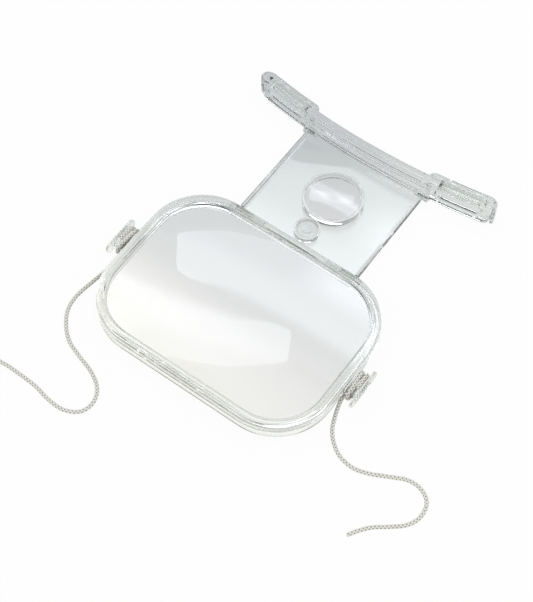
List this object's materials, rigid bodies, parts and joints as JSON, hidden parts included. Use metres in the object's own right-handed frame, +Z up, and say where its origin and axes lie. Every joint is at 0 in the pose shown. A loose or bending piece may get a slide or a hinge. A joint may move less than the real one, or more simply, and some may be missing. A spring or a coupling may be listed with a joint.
{
  "type": "neck magnifier",
  "caption": "Hands-free reading magnifier: a wide framed clear lens on a neck cord, with a hinged plate, a small lens and a padded bar that rests on the chest.",
  "frame": {"origin": "on the surface it stands on, under the middle of the box round the frame, plate and bar, without the free cords", "axes": "+Y from the framed lens to the chest bar, +X to the right seen from the front, +Z up through the lens"},
  "size_m": [0.2357, 0.2386, 0.0165],
  "materials": {
    "clear_acrylic": "clear moulded acrylic, polished",
    "lens_acrylic": "clear optical acrylic, polished",
    "frosted_acrylic": "frosted acrylic",
    "soft_vinyl": "soft clear vinyl, finely ribbed",
    "steel_pin": "bright drawn pin",
    "braided_cord": "light grey herringbone braid"
  },
  "bodies": {
    "frame": {"lens_frame": "clear_acrylic", "bezel": "clear_acrylic", "main_lens": "lens_acrylic", "left_cleat": "clear_acrylic", "right_cleat": "clear_acrylic", "left_winding": "braided_cord", "right_winding": "braided_cord", "left_cord": "braided_cord", "right_cord": "braided_cord", "left_frame_pin": "steel_pin", "right_frame_pin": "steel_pin"},
    "plate": {"support_plate": "clear_acrylic", "lens_collar": "clear_acrylic", "small_lens": "lens_acrylic", "frosted_disc": "frosted_acrylic", "left_bar_pin": "steel_pin", "right_bar_pin": "steel_pin"},
    "bar": {"chest_bar": "clear_acrylic", "left_pad": "soft_vinyl", "right_pad": "soft_vinyl"}
  },
  "joints": [
    {"name": "plate_fold", "type": "hinge", "parent": "frame", "child": "plate", "pos_m": [0, 0.00976, 0.0028], "axis": [-1, 0, 0], "range_deg": [-20, 170]},
    {"name": "bar_tilt", "type": "hinge", "parent": "plate", "child": "bar", "pos_m": [0, 0.08096, 0.0028], "axis": [1, 0, 0], "range_deg": [-25, 25]}
  ]
}
